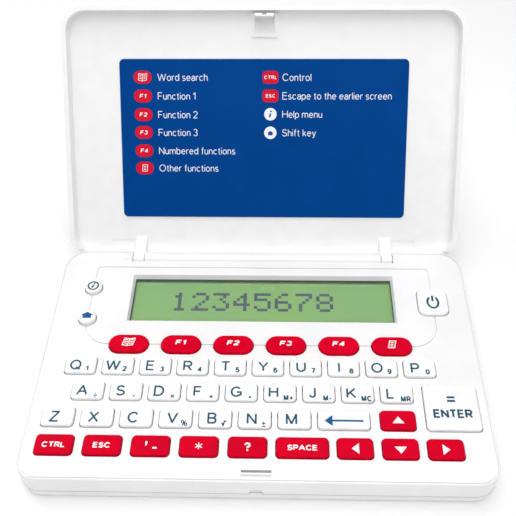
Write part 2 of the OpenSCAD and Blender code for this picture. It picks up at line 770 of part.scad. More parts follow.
// What the battery cover needs cut: its opening and the bay's, slots for tabs, room for a screw
module cover_opening() {
    translate([0, cell_y, -past]) {
        linear_extrude(cover_t + past) square([cover_w, cover_d], center = true);
        linear_extrude(floor_t + past + tiny) square([bay_w, bay_d], center = true);
    }
    for (side = [-1, 1])
        translate([side * cell_pitch / 2, cell_y + cover_d / 2, (cover_t - tab_t) / 2 - post_gap])
            linear_extrude(tab_t + 2 * post_gap)
            square([tab_w + 2 * cover_gap, 2 * (tab_reach + cover_gap)], center = true);
    translate([0, cover_screw_y, -past]) {
        cylinder(r = pad_r + cover_gap, h = pad_top + past);
        cylinder(r = screw_d / 2 + thread_gap, h = board_z + 2 * past);
    }
}

// Posts that carry a pin on both sides of a lug, and the block that closes its pocket below
module hinge_pedestal() {
    for (span = [[pin_in, barrel_half], [lug_x + pocket_half, pin_out]])
        block([span[0] + post_gap, hinge_y - post_half, floor_t / 2],
              [span[1] - post_gap, hinge_y + post_half, hinge_z - post_drop]);
    block([lug_x - pocket_half + post_gap, pocket_front + lug_gap, floor_t / 2],
          [lug_x + pocket_half - post_gap, lower_d / 2 - tiny, hinge_z - lug_eye_r - lug_gap]);
}

// Battery cover, flush with the underside, with two tabs at the back and one screw at the front
module battery_cover() {
    color("gainsboro") difference() {
        union() {
            translate([0, cell_y, 0]) linear_extrude(cover_t)
                square([cover_w - 2 * cover_gap, cover_d - 2 * cover_gap], center = true);
            for (side = [-1, 1])
                translate([side * cell_pitch / 2, cell_y + cover_d / 2, (cover_t - tab_t) / 2])
                    linear_extrude(tab_t) square([tab_w, 2 * tab_reach], center = true);
            translate([0, cover_screw_y, 0]) cylinder(r = pad_r, h = pad_top);
        }
        translate([0, cover_screw_y, -past]) {
            cylinder(r = screw_head_d / 2 + screw_gap, h = cover_t + past);
            cylinder(r = screw_d / 2 + screw_gap, h = board_z);
        }
    }
}

// Everything on the lid is drawn shut, with the hinge axis at the origin, then swung open
module lid_place() {
    translate([0, hinge_y, hinge_z]) rotate([-open_angle, 0, 0]) children();
}

// Lid: shallow tray with the lugs, the label seat and the latch tongue
module lid_shell() {
    color("white") lid_place() difference() {
        union() {
            difference() {
                translate([0, -lid_len / 2, rim_t])
                    soft_block(lid_w, lid_len, lid_t, lid_corner_r, lid_corner_r, 0, lid_edge_r);
                translate([0, -lid_len / 2, rim_t - past])
                    linear_extrude(lid_t - lid_skin + past)
                    outline(lid_w - 2 * lid_wall, lid_len - 2 * lid_wall,
                            lid_corner_r - lid_wall, lid_corner_r - lid_wall);
                block([-lid_w, -rear_cut, 0], [lid_w, lid_len, rear_lift]);
            }
            translate([label_x, -label_from_axis - label_len / 2, lid_floor_t - seat_h])
                linear_extrude(seat_h + lid_skin / 2)
                outline(label_w + 2 * seat_margin, label_len + 2 * seat_margin,
                        label_corner_r + seat_margin, label_corner_r + seat_margin);
            both_sides() lug();
            translate([tongue_x, 0, 0]) latch();
        }
        pin_rods_local(pin_r + pin_play);
        both_sides() block(
            [lug_x + lug_w / 2 + lug_gap, mark_far, lid_floor_t - past],
            [lug_x + lug_w / 2 + lug_gap + mark_w, mark_far + mark_len, lid_floor_t + mark_depth]);
        translate([tongue_x - frame_w / 2 + frame_rib, 0, 0]) rotate([90, 0, 90])
            linear_extrude(frame_w - 2 * frame_rib)
            polygon([[-tongue_s + tongue_t / 2, lid_floor_t - tiny],
                     [-tongue_s + tongue_t / 2, lid_floor_t + ramp_depth],
                     [frame_len - frame_rib - latch_s, lid_floor_t - tiny]]);
    }
}

// Bore through both lugs, in the lid's own frame
module pin_rods_local(r) {
    for (side = [-1, 1]) translate([side * lug_x, 0, 0]) rotate([0, 90, 0])
        cylinder(r = r, h = lug_w + 2 * past, center = true);
}

// One lug: an eye round the pin and a web that runs forward under the lid
module lug() {
    translate([lug_x - lug_w / 2, 0, 0]) rotate([90, 0, 90]) linear_extrude(lug_w) {
        circle(lug_eye_r);
        polygon([[0, 0], [0, top_t - lid_skin / 2], [-lug_reach, top_t - lid_skin / 2],
                 [-lug_reach, lid_floor_t - web_end_h],
                 [lug_eye_r * cos(web_angle), lug_eye_r * sin(web_angle)]]);
    }
}

// Latch tongue with its nose, and the frame of ribs round its root
module latch() {
    nose_top = axis_drop - deck_t - rim_gap;
    nose_low = nose_top - nose_h;
    difference() {
        union() {
            block([-tongue_w / 2, -tongue_s - tongue_t / 2, nose_low],
                  [tongue_w / 2, -tongue_s + tongue_t / 2, lid_floor_t + lid_skin / 2]);
            translate([-tongue_w / 2, -tongue_s - tongue_t / 2, nose_top]) rotate([90, 0, 90])
                linear_extrude(tongue_w)
                polygon([[0, 0], [-nose_d, 0], [-nose_d, -nose_h / 3], [0, -nose_h],
                         [tongue_t / 2, -nose_h], [tongue_t / 2, 0]]);
        }
        block([-split_w / 2, -tongue_s - past, nose_low - past],
              [split_w / 2, -tongue_s + past, nose_low + split_h]);
    }
    both_sides() block([frame_w / 2 - frame_rib, -latch_s, lid_floor_t - frame_h],
                       [frame_w / 2, -latch_s + frame_len, lid_floor_t + lid_skin / 2]);
    block([-frame_w / 2, -latch_s + frame_len - frame_rib, lid_floor_t - frame_h],
          [frame_w / 2, -latch_s + frame_len, lid_floor_t + lid_skin / 2]);
}

// Printed label on its raised seat
module lid_label() {
    color("midnightblue") lid_place()
        translate([label_x, -label_from_axis - label_len / 2, lid_floor_t - seat_h - label_t])
        linear_extrude(label_t) outline(label_w, label_len, label_corner_r, label_corner_r);
}

// Two steel hinge pins
module hinge_pins() {
    color("silver") pin_rods(pin_r, pin_in, pin_out);
}

// Clear lens, fixed under the deck
module lcd_window() {
    color("lightcyan") translate([window_x, window_y, lens_low]) linear_extrude(lens_t)
        square([lens_w, lens_d], center = true);
}

// Display: glass on a frame that stands on the circuit board
module lcd_module() {
    color("darkseagreen") translate([window_x, window_y, board_top]) {
        linear_extrude(lcd_frame_t)
            square([glass_w + 2 * lcd_frame_lap, glass_d + 2 * lcd_frame_lap], center = true);
        linear_extrude(lens_low - lens_gap - board_top) square([glass_w, glass_d], center = true);
    }
}

// Key or button: a hollow cap with a retaining lip under the deck and a plunger in the middle.
// Round-ended buttons have the lip all round, and keys have it at their two sides only.
module key(k) {
    cap_h = deck_z + k[6] - key_low;
    hollow_r = max(k[5] - key_wall, least_r);
    color(k[8]) translate([k[1], k[2], key_low]) difference() {
        union() {
            soft_block(k[3], k[4], cap_h, k[5], k[5], 0, key_edge_r);
            linear_extrude(key_lip_t)
                if (k[7] < key_travel)
                    outline(k[3] + 2 * key_lip, k[4] + 2 * key_lip, k[5] + key_lip, k[5] + key_lip);
                else
                    square([k[3] + 2 * key_lip, k[4] - 2 * key_corner_r - key_edge_r], center = true);
        }
        difference() {
            translate([0, 0, -past]) linear_extrude(cap_h - key_wall + past)
                outline(k[3] - 2 * key_wall, k[4] - 2 * key_wall, hollow_r, hollow_r);
            translate([0, 0, -2 * past]) cylinder(r = plunger_d / 2, h = deck_z);
        }
    }
}

// Rubber mat with a dome under each key, and two arms to the buttons beside the display
module keypad_mat() {
    color("dimgray") difference() {
        union() {
            translate([0, 0, board_top]) linear_extrude(mat_t) mat_outline();
            for (k = KEYS) translate([k[1], k[2], board_top])
                cylinder(r = dome_d / 2, h = key_low - k[7] - dome_gap - board_top);
        }
        at_screws(board_top - past) cylinder(r = boss_r + board_gap, h = mat_t + 2 * past);
    }
}
module mat_outline() {
    translate([-mat_w / 2, mat_front]) square([mat_w, mat_back - mat_front]);
    for (arm = [[-line_x, round_d / 2, info_y + round_d / 2],
                [line_x, power_w / 2, power_y + power_d / 2]])
        translate([arm[0] - arm[1] - mat_margin, mat_back - past])
            square([2 * (arm[1] + mat_margin), arm[2] + mat_margin - mat_back + past]);
}

// Circuit board, with the processor and the clock crystal under it
module main_pcb() {
    color("darkgreen") difference() {
        union() {
            translate([0, board_y, board_z]) linear_extrude(board_t)
                square([board_w, board_d], center = true);
            for (chip = [[-chip_x, -chip_y, chip_w, chip_w],
                         [crystal_x, -crystal_y, crystal_len, crystal_w]])
                translate([chip[0], chip[1], board_z - chip_h]) linear_extrude(chip_h + tiny)
                    square([chip[2], chip[3]], center = true);
        }
        at_screws(board_z - past) cylinder(r = boss_r + board_gap, h = board_t + 2 * past);
    }
}

// Two coin cells in their bay
module coin_cells() {
    color("silver") for (side = [-1, 1])
        translate([side * cell_pitch / 2, cell_y, cover_t]) {
            cylinder(r = cell_d / 2, h = cell_t - cell_step_h);
            cylinder(r = cell_d / 2 - cell_step_w, h = cell_t);
        }
}

// Contact strips under the board, one pressing on each cell
module battery_contacts() {
    cell_top = cover_t + cell_t;
    color("gold") for (side = [-1, 1])
        translate([side * cell_pitch / 2, cell_y, 0]) {
            translate([0, 0, board_z - contact_t]) linear_extrude(contact_t)
                square([contact_w, contact_len], center = true);
            translate([0, 0, cell_top]) cylinder(r = contact_d / 2, h = board_z - cell_top);
        }
}

// Case screws, driven up from the underside, and the shorter one in the battery cover
module case_screws() {
    color("silver") {
        at_screws(screw_sink) screw(deck_low - blind_gap - screw_sink);
        translate([0, cover_screw_y, cover_head_z])
            screw(bay_top - blind_gap / 2 - cover_head_z);
    }
}

// One screw of a given overall length, head down
module screw(length) {
    difference() {
        union() {
            cylinder(r = screw_head_d / 2, h = screw_head_h);
            cylinder(r = screw_d / 2, h = length);
        }
        for (turn = [0, 90]) rotate([0, 0, turn])
            cube([cross_len, cross_w, screw_head_h], center = true);
    }
}

top_housing();
bottom_housing();
battery_cover();
lid_shell();
lid_label();
hinge_pins();
lcd_window();
lcd_module();
keypad_mat();
main_pcb();
coin_cells();
battery_contacts();
case_screws();
for (k = KEYS) key(k);
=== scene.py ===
import json
import math

import bmesh
import bpy
from mathutils import Matrix, Vector


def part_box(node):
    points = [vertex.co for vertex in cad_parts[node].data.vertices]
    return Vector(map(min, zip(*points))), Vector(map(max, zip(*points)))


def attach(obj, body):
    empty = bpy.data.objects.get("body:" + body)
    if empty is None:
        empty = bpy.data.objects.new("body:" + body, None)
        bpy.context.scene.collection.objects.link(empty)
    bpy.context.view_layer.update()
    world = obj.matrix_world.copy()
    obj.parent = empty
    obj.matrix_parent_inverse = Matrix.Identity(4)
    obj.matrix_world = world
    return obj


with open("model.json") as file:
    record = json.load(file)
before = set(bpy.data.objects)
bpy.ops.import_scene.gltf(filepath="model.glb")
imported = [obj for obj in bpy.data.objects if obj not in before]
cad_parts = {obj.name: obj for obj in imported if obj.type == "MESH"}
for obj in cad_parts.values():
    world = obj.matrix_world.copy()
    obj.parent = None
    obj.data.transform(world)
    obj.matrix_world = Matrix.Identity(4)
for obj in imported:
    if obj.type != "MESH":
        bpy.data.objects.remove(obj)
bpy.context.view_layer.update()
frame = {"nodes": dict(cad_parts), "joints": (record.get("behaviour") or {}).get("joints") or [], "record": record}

MM = 0.001      # sizes and places are in millimetres, and this turns them to metres

# The view: a hand-held distance in front of the open dictionary, looking down at it.
# The angles and the distance follow from how the case's edges converge in the photograph.
camera_place = (6.47, -151.46, 214.36)
camera_turn, camera_tilt, camera_roll = math.radians(2.36), math.radians(43.35), math.radians(-1.32)
camera_data = bpy.data.cameras.new("photo_camera")
camera_data.lens = 57.16
camera_data.sensor_width = 36
camera_data.clip_start = 10 * MM
camera = bpy.data.objects.new("photo_camera", camera_data)
camera.matrix_world = (
    Matrix.Translation(Vector(camera_place) * MM)
    @ Matrix.Rotation(camera_turn, 4, "Z")
    @ Matrix.Rotation(camera_tilt, 4, "X")
    @ Matrix.Rotation(camera_roll, 4, "Z")
)
bpy.context.scene.collection.objects.link(camera)
bpy.context.scene.camera = camera


# The studio: a pale painted table top under three soft boxes. The largest hangs overhead, a little
# behind the middle, a smaller one is high in front, and a weak one fills in from the back left.
def linear_rgb(hex_colour):
    """sRGB colour such as "#E0002A" as linear red, green, blue and alpha."""
    values = [int(hex_colour[i:i + 2], 16) / 255 for i in (1, 3, 5)]
    return [v / 12.92 if v <= 0.04045 else ((v + 0.055) / 1.055) ** 2.4 for v in values] + [1.0]


def add_node(material, kind, inputs=None, **settings):
    """Adds one node. Settings are its own properties; inputs are socket values or links."""
    node = material.node_tree.nodes.new(kind)
    for name, value in settings.items():
        setattr(node, name, value)
    for socket, value in (inputs or {}).items():
        if isinstance(value, bpy.types.NodeSocket):
            material.node_tree.links.new(value, node.inputs[socket])
        else:
            node.inputs[socket].default_value = value
    return node


def new_material(name, hex_colour, roughness, **sockets):
    """A material with one shader, whose plain values are set on the shader itself."""
    material = bpy.data.materials.new(name)
    material.use_nodes = True
    material.diffuse_color = linear_rgb(hex_colour)
    shader = material.node_tree.nodes["Principled BSDF"]
    shader.inputs["Base Color"].default_value = linear_rgb(hex_colour)
    shader.inputs["Roughness"].default_value = roughness
    for socket, value in sockets.items():
        shader.inputs[socket.replace("_", " ")].default_value = value
    return material, shader


def soft_box(name, place, size, power):
    """A square area light, its power in watts, that faces the middle of the open case."""
    light = bpy.data.lights.new(name, "AREA")
    light.size = size * MM
    light.energy = power
    lamp = bpy.data.objects.new(name, light)
    aim = (Vector(lit_middle) - Vector(place)).to_track_quat("-Z", "Y")
    lamp.matrix_world = Matrix.Translation(Vector(place) * MM) @ aim.to_matrix().to_4x4()
    bpy.context.scene.collection.objects.link(lamp)


lit_middle = (0, 20, 20)
soft_box("overhead_box", (0, 60, 620), 560, 1.9)
soft_box("front_box", (40, -330, 560), 420, 1.15)
soft_box("back_left_box", (-330, 260, 420), 300, 0.5)

world = bpy.data.worlds.new("studio")
world.use_nodes = True
world.node_tree.nodes["Background"].inputs["Color"].default_value = linear_rgb("#FBFBFD")
world.node_tree.nodes["Background"].inputs["Strength"].default_value = 0.42
bpy.context.scene.world = world
bpy.context.scene.view_settings.view_transform = "Standard"


def finished_mesh(shape, name):
    """The mesh of a bmesh that is done with."""
    mesh = bpy.data.meshes.new(name)
    shape.to_mesh(mesh)
    shape.free()
    return mesh


table_half_size = 3000 * MM
shape = bmesh.new()
bmesh.ops.create_grid(shape, x_segments=1, y_segments=1, size=table_half_size)
table_mesh = finished_mesh(shape, "table_top")
table = bpy.data.objects.new("table_top", table_mesh)
bpy.context.scene.collection.objects.link(table)
table_mesh.materials.append(new_material("painted_table_top", "#FFFFFF", 0.6)[0])


# The housings and the lid: shells of injection-moulded white ABS. The case comes from a polished
# mould, and shows soft reflections. The lid's mould is frosted, and scatters the light more.
def moulded_plastic(name, hex_colour, shade_hex, roughness, cloud_mm=14.0, **sockets):
    """Moulded plastic: cloudy marks of its flow in colour and gloss, and faint waves of the mould."""
    wave_mm, wave_depth_mm = 2.5, 0.012
    material, shader = new_material(name, hex_colour, roughness, **sockets)
    place = add_node(material, "ShaderNodeTexCoord").outputs["Object"]
    clouds = add_node(material, "ShaderNodeTexNoise", {
        "Vector": place, "Scale": 1 / (cloud_mm * MM), "Detail": 3.0, "Roughness": 0.55})
    patches = add_node(material, "ShaderNodeMapRange", {
        "Value": clouds.outputs["Fac"], "From Min": 0.38, "From Max": 0.62})
    tint = add_node(material, "ShaderNodeMix", {
        "Factor": patches.outputs["Result"],
        "A": linear_rgb(shade_hex), "B": linear_rgb(hex_colour)}, data_type="RGBA")
    links = material.node_tree.links
    links.new(tint.outputs["Result"], shader.inputs["Base Color"])
    smears = add_node(material, "ShaderNodeMapRange", {
        "Value": clouds.outputs["Fac"], "From Min": 0.35, "From Max": 0.65,
        "To Min": roughness * 0.85, "To Max": roughness * 1.2})
    links.new(smears.outputs["Result"], shader.inputs["Roughness"])
    waves = add_node(material, "ShaderNodeTexNoise", {
        "Vector": place, "Scale": 1 / (wave_mm * MM), "Detail": 2.0, "Roughness": 0.5})
    bump = add_node(material, "ShaderNodeBump", {
        "Height": waves.outputs["Fac"], "Strength": 0.25, "Distance": wave_depth_mm * MM})
    links.new(bump.outputs["Normal"], shader.inputs["Normal"])
    return material


def dress(names, material):
    """Gives CAD nodes a material in place of the one that they came with."""
    for name in names:
        mesh = frame["nodes"][name].data
        mesh.materials.clear()
        mesh.materials.append(material)


white_abs = moulded_plastic("glossy_white_abs", "#F6F5F5", "#F2F1F1", 0.2, IOR=1.54)
lid_abs = moulded_plastic("frosted_white_abs", "#F9F9F9", "#F6F6F6", 0.34, cloud_mm=6.0, IOR=1.54)
dress(["top_housing", "bottom_housing", "battery_cover"], white_abs)
dress(["lid_shell"], lid_abs)

# Keys and buttons: moulded ABS caps. The letter keys and round buttons are white, and the
# control, arrow and function keys crimson. Their satin mould gives the white a wide, soft sheen.
# The crimson has hardly any, so its colour stays deep and even under the lamps.
white_key_abs = moulded_plastic("satin_white_abs", "#F8F8F8", "#F3F3F4", 0.3, cloud_mm=6.0, IOR=1.54)
red_key_abs = moulded_plastic("satin_crimson_abs", "#DC0028", "#CF0026", 0.32, cloud_mm=6.0, IOR=1.54,
                              Specular_IOR_Level=0.02)
slot_of = {part["node"]: part["material_slot"] for part in frame["record"]["subparts"]}
dress([name for name, slot in slot_of.items() if slot == "white_key"], white_key_abs)
dress([name for name, slot in slot_of.items() if slot == "red_key"], red_key_abs)


# Key legends: pad-printed ink, a few hundredths of a millimetre thick, teal or blue on the white
# keys and white on the red ones. Each letter stands left of the middle, with its second sign low
# at the right. The ink is matt, so the legends stay plain to read where the cap shines.
def uneven_gloss(material, shader, place, spot_mm, low, high, detail=2.0):
    """Lets the roughness wander between two values, in spots of a given size."""
    spots = add_node(material, "ShaderNodeTexNoise", {
        "Vector": place, "Scale": 1 / (spot_mm * MM), "Detail": detail})
    gloss = add_node(material, "ShaderNodeMapRange", {
        "Value": spots.outputs["Fac"], "To Min": low, "To Max": high})
    material.node_tree.links.new(gloss.outputs["Result"], shader.inputs["Roughness"])


def printing_ink(name, hex_colour):
    """Ink whose gloss varies with the print, in spots drawn coarser than real ones, so they show."""
    material, shader = new_material(name, hex_colour, 0.45, Specular_IOR_Level=0.15)
    place = add_node(material, "ShaderNodeTexCoord").outputs["Object"]
    uneven_gloss(material, shader, place, 0.8, 0.35, 0.55)
    return material


def new_piece(name, mesh, material, body):
    """A finished piece: its mesh in place, one material, riding on a body."""
    piece = bpy.data.objects.new(name, mesh)
    bpy.context.scene.collection.objects.link(piece)
    mesh.materials.clear()
    mesh.materials.append(material)
    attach(piece, body)


def oval(x, y, rx, ry, start=0, stop=360, steps=None):
    """Points along an oval arc round (x, y), in degrees from +X; negative turns run clockwise."""
    steps = steps or max(4, round(abs(stop - start) / 18))
    turns = [math.radians(start + (stop - start) * i / steps) for i in range(steps + 1)]
    return [(x + rx * math.cos(a), y + ry * math.sin(a)) for a in turns]


def arc(radius, start, stop, steps, x=0.0, y=0.0):
    """Points along a round arc, in degrees from +X."""
    return oval(x, y, radius, radius, start, stop, steps)


# Plain sans-serif lettering, drawn as the middle lines of its strokes. A capital is one unit high.
# Each sign has its width and its strokes.
arch = [(0, 0.4)] + oval(0.23, 0.43, 0.23, 0.25, 180, 0) + [(0.46, 0)]
small_bowl = oval(0.26, 0.34, 0.26, 0.34)
dot = [(-0.055, 0), (0.055, 0)]


def moved(stroke, x, y):
    """A stroke moved sideways and up."""
    return [(px + x, py + y) for px, py in stroke]


def scaled(stroke, across, up):
    """A stroke made larger or smaller each way; -1 turns it over."""
    return [(x * across, y * up) for x, y in stroke]


signs = {
    "A": (0.9, [[(0, 0), (0.45, 1), (0.9, 0)], [(0.17, 0.35), (0.73, 0.35)]]),
    "B": (0.68, [[(0, 0), (0, 1), (0.4, 1)] + oval(0.4, 0.765, 0.24, 0.235, 90, -90) + [(0, 0.53)],
                 [(0, 0.53), (0.42, 0.53)] + oval(0.42, 0.265, 0.26, 0.265, 90, -90) + [(0, 0)]]),
    "C": (0.84, [oval(0.44, 0.5, 0.44, 0.5, 40, 320)]),
    "D": (0.8, [[(0, 0), (0, 1), (0.34, 1)] + oval(0.34, 0.5, 0.46, 0.5, 90, -90) + [(0, 0)]]),
    "E": (0.66, [[(0.64, 1), (0, 1), (0, 0), (0.66, 0)], [(0, 0.53), (0.59, 0.53)]]),
    "F": (0.6, [[(0.6, 1), (0, 1), (0, 0)], [(0, 0.5), (0.52, 0.5)]]),
    "G": (0.87, [oval(0.44, 0.5, 0.44, 0.5, 42, 318) + [(0.87, 0.17), (0.87, 0.46), (0.5, 0.46)]]),
    "H": (0.74, [[(0, 0), (0, 1)], [(0.74, 0), (0.74, 1)], [(0, 0.53), (0.74, 0.53)]]),
    "I": (0, [[(0, 0), (0, 1)]]),
    "J": (0.47, [[(0.47, 1), (0.47, 0.25)] + oval(0.235, 0.24, 0.235, 0.24, 0, -175)]),
    "K": (0.74, [[(0, 0), (0, 1)], [(0.72, 1), (0, 0.32)], [(0.26, 0.57), (0.75, 0)]]),
    "L": (0.56, [[(0, 1), (0, 0), (0.56, 0)]]),
    "M": (0.86, [[(0, 0), (0, 1), (0.43, 0.04), (0.86, 1), (0.86, 0)]]),
    "N": (0.74, [[(0, 0), (0, 1), (0.74, 0), (0.74, 1)]]),
    "O": (0.92, [oval(0.46, 0.5, 0.46, 0.5)]),
    "P": (0.66, [[(0, 0), (0, 1), (0.4, 1)] + oval(0.4, 0.73, 0.26, 0.27, 90, -90) + [(0, 0.46)]]),
    "Q": (0.92, [oval(0.46, 0.5, 0.46, 0.5), [(0.54, 0.24), (0.93, -0.05)]]),
    "R": (0.74, [[(0, 0), (0, 1), (0.43, 1)] + oval(0.43, 0.735, 0.26, 0.265, 90, -90) + [(0, 0.47)],
                 [(0.36, 0.47), (0.72, 0)]]),
    "S": (0.68, [oval(0.34, 0.755, 0.3, 0.245, 22, 270) + oval(0.34, 0.255, 0.34, 0.255, 90, -160)]),
    "T": (0.74, [[(0, 1), (0.74, 1)], [(0.37, 1), (0.37, 0)]]),
    "U": (0.74, [[(0, 1)] + oval(0.37, 0.36, 0.37, 0.36, 180, 360) + [(0.74, 1)]]),
    "V": (0.84, [[(0, 1), (0.42, 0), (0.84, 1)]]),
    "W": (1.24, [[(0, 1), (0.31, 0), (0.62, 0.96), (0.93, 0), (1.24, 1)]]),
    "X": (0.8, [[(0, 0), (0.78, 1)], [(0.02, 1), (0.8, 0)]]),
    "Y": (0.84, [[(0, 1), (0.42, 0.44), (0.84, 1)], [(0.42, 0.44), (0.42, 0)]]),
    "Z": (0.74, [[(0.04, 1), (0.72, 1), (0, 0), (0.76, 0)]]),
    "a": (0.48, [oval(0.26, 0.46, 0.22, 0.22, 160, 0) + [(0.48, 0)],
                 [(0.48, 0.4)] + oval(0.22, 0.19, 0.22, 0.19, 90, 300) + [(0.48, 0.14)]]),
    "b": (0.52, [small_bowl, [(0, 1), (0, 0)]]),
    "c": (0.5, [oval(0.27, 0.34, 0.27, 0.34, 45, 315)]),
    "d": (0.52, [small_bowl, [(0.52, 1), (0.52, 0)]]),
    "e": (0.54, [[(0.02, 0.36)] + oval(0.27, 0.34, 0.27, 0.34, 4, 318)]),
    "f": (0.3, [oval(0.3, 0.82, 0.17, 0.18, 90, 180) + [(0.13, 0)], [(0, 0.68), (0.3, 0.68)]]),
    "h": (0.46, [[(0, 1), (0, 0)], arch]),
    "i": (0, [[(0, 0.68), (0, 0)], moved(dot, 0, 0.96)]),
    "k": (0.46, [[(0, 1), (0, 0)], [(0.42, 0.68), (0, 0.24)], [(0.16, 0.41), (0.46, 0)]]),
    "l": (0, [[(0, 1), (0, 0)]]),
    "m": (0.86, [[(0, 0.68), (0, 0)], scaled(arch, 0.93, 1), moved(scaled(arch, 0.93, 1), 0.43, 0)]),
    "n": (0.46, [[(0, 0.68), (0, 0)], arch]),
    "o": (0.54, [oval(0.27, 0.34, 0.27, 0.34)]),
    "p": (0.52, [small_bowl, [(0, 0.68), (0, -0.28)]]),
    "r": (0.28, [[(0, 0.68), (0, 0)], oval(0.24, 0.42, 0.24, 0.26, 180, 75)]),
    "s": (0.42, [oval(0.21, 0.51, 0.19, 0.17, 25, 270) + oval(0.21, 0.17, 0.21, 0.17, 90, -155)]),
    "t": (0.28, [[(0.13, 0.9)] + oval(0.27, 0.14, 0.14, 0.14, 180, 280), [(0, 0.68), (0.28, 0.68)]]),
    "u": (0.46, [[(0, 0.68)] + oval(0.23, 0.25, 0.23, 0.25, 180, 360), [(0.46, 0.68), (0.46, 0)]]),
    "y": (0.5, [[(0, 0.68), (0.26, 0)], [(0.5, 0.68), (0.2, -0.2), (0.04, -0.26)]]),
    "0": (0.56, [oval(0.28, 0.5, 0.28, 0.5)]),
    "1": (0.28, [[(0, 0.74), (0.28, 1), (0.28, 0)]]),
    "2": (0.58, [oval(0.29, 0.71, 0.28, 0.29, 165, -28) + [(0, 0), (0.58, 0)]]),
    "3": (0.56, [oval(0.26, 0.765, 0.24, 0.235, 160, -90) + oval(0.26, 0.265, 0.29, 0.265, 90, -160)]),
    "4": (0.62, [[(0.46, 0), (0.46, 1), (0, 0.3), (0.62, 0.3)]]),
    "5": (0.56, [[(0.52, 1), (0.1, 1), (0.04, 0.5)] + oval(0.27, 0.32, 0.29, 0.32, 118, -155)]),
    "6": (0.56, [oval(0.28, 0.31, 0.28, 0.31), oval(0.3, 0.62, 0.27, 0.38, 40, 185) + [(0, 0.3)]]),
    "7": (0.56, [[(0, 1), (0.56, 1), (0.2, 0)]]),
    "8": (0.56, [oval(0.28, 0.765, 0.24, 0.235), oval(0.28, 0.265, 0.28, 0.265)]),
    "9": (0.56, [oval(0.28, 0.69, 0.28, 0.31), oval(0.26, 0.38, 0.27, 0.38, -140, 5) + [(0.56, 0.7)]]),
    "+": (0.7, [[(0, 0.4), (0.7, 0.4)], [(0.35, 0.05), (0.35, 0.75)]]),
    "-": (0.4, [[(0, 0.36), (0.4, 0.36)]]),
    "x": (0.6, [[(0, 0.08), (0.6, 0.68)], [(0, 0.68), (0.6, 0.08)]]),
    ".": (0.12, [moved(dot, 0.06, 0.36)]),
    "*": (0.5, [[(0.25, 0.5), (0.25, 1)], [(0.03, 0.62), (0.47, 0.88)], [(0.03, 0.88), (0.47, 0.62)]]),
    "?": (0.56, [oval(0.28, 0.74, 0.26, 0.26, 175, -35) + [(0.28, 0.42), (0.28, 0.28)],
                 moved(dot, 0.28, 0)]),
    " ": (0.12, []),
    "÷": (0.7, [[(0, 0.4), (0.7, 0.4)], moved(dot, 0.35, 0.78), moved(dot, 0.35, 0.02)]),
    "±": (0.66, [[(0, 0.62), (0.66, 0.62)], [(0.33, 0.3), (0.33, 0.94)], [(0, 0.02), (0.66, 0.02)]]),
    "√": (0.9, [[(0, 0.42), (0.14, 0.5), (0.34, 0), (0.56, 1), (0.95, 1)]]),
    "%": (1.0, [oval(0.2, 0.75, 0.2, 0.25), oval(0.8, 0.25, 0.2, 0.25), [(0.22, 0), (0.78, 1)]]),
}


# Strokes that cross lie a hair apart in height, and so do the two parts of one that turns sharply.
stroke_step, turn_step, sharp_turn, longest_mitre = 0.003, 0.001, -0.3, 0.7


def draw_stroke(shape, points, width, lift):
    """A ribbon of faces along a stroke's middle line, mitred except where it turns back sharply."""
    for i in range(1, len(points) - 1):
        before, corner, after = (Vector((x, y, 0)) for x, y in points[i - 1:i + 2])
        arriving, leaving = (corner - before).normalized(), (after - corner).normalized()
        if arriving.dot(leaving) < sharp_turn:
            past, short = corner + arriving * width / 4, corner - leaving * width / 4
            draw_stroke(shape, list(points[:i]) + [(past.x, past.y)], width, lift)
            draw_stroke(shape, [(short.x, short.y)] + list(points[i + 1:]), width, lift + turn_step)
            return
    line = [Vector((x, y, lift)) for x, y in points]
    closed = (line[0] - line[-1]).length < 0.05 * width
    line = line[:-1] if closed else line
    if len(line) == 2 and (line[1] - line[0]).length < width:
        middle, along = (line[0] + line[1]) / 2, (line[1] - line[0]).normalized() * width / 2
        line = [middle - along, middle + along]
    pairs = []
    for i, point in enumerate(line):
        ways = []
        if closed or i > 0:
            ways.append((point - line[i - 1]).normalized())
        if closed or i < len(line) - 1:
            ways.append((line[(i + 1) % len(line)] - point).normalized())
        along = sum(ways, Vector()).normalized()
        across = Vector((-along.y, along.x, 0))
        reach = width / 2 / max(longest_mitre, along.dot(ways[0]))
        pairs.append([shape.verts.new(point + across * side * reach) for side in (1, -1)])
    steps = len(pairs) if closed else len(pairs) - 1
    for i in range(steps):
        (a, b), (c, d) = pairs[i], pairs[(i + 1) % len(pairs)]
        shape.faces.new((b, d, c, a))


ink_thickness = 0.04


def thin_print(shape, middle=(0, 0)):
    """Gives faces drawn in millimetres the thickness of ink, half of it above z = 0, in metres."""
    lifted = bmesh.ops.extrude_face_region(shape, geom=shape.faces[:])
    lower = [v for v in lifted["geom"] if isinstance(v, bmesh.types.BMVert)]
    bmesh.ops.translate(shape, verts=lower, vec=(0, 0, -ink_thickness))
    bmesh.ops.recalc_face_normals(shape, faces=shape.faces)
    bmesh.ops.translate(shape, verts=shape.verts, vec=(-middle[0], -middle[1], ink_thickness / 2))
    bmesh.ops.scale(shape, verts=shape.verts, vec=(MM, MM, MM))
    return finished_mesh(shape, "print")


def lettering(words, height, line, slant=0.0, wide=1.0, spread=0.24):
    """Printed words as thin solids, centred on the origin."""
    shape = bmesh.new()
    scale = height - line
    start = 0.0
    for sign in words:
        width, strokes = signs[sign]
        for i, stroke in enumerate(strokes):
            middle_line = [(start + (x * wide + slant * y) * scale, y * scale) for x, y in stroke]
            draw_stroke(shape, middle_line, line, stroke_step * i)
        start += width * wide * scale + line + spread * scale
    end = start - line - spread * scale
    return thin_print(shape, (end / 2 + slant * scale / 2, scale / 2))


